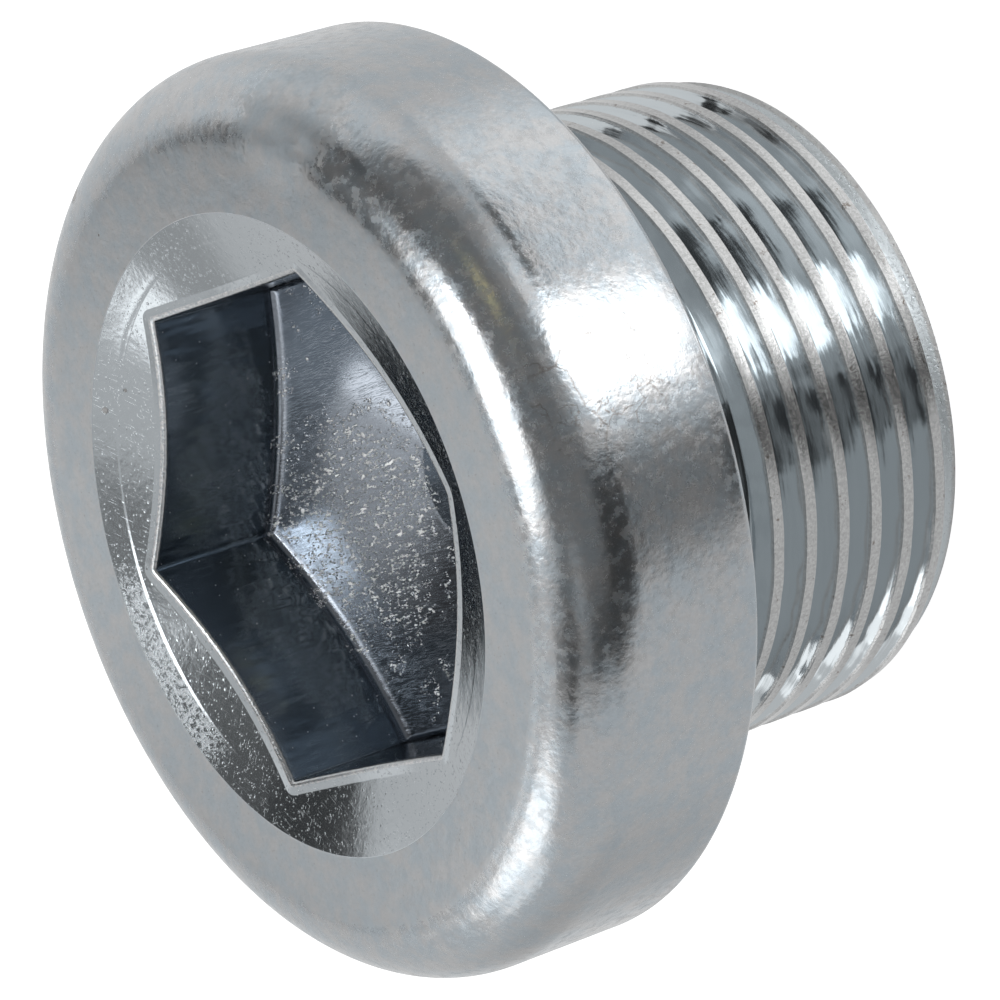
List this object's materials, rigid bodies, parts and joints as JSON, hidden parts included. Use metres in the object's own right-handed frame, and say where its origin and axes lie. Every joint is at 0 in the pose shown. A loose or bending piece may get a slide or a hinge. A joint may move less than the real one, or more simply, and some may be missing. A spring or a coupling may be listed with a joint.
{
  "type": "hex socket plug",
  "caption": "Round-headed screw plug with a hexagon socket, a conical socket floor, a plain neck and a fine outside thread that narrows at its end.",
  "frame": {"origin": "centre of the thread's flat end face, on which the plug stands", "axes": "+Z along the plug's axis, from the thread's end to the head's front face; +X through a corner of the hexagon socket"},
  "size_m": [0.0335, 0.0334, 0.0213],
  "materials": {
    "zinc_plate": "bright zinc plate over cold-forged steel, lightly scratched"
  },
  "bodies": {
    "root": {"plug_body": "zinc_plate"}
  },
  "joints": []
}
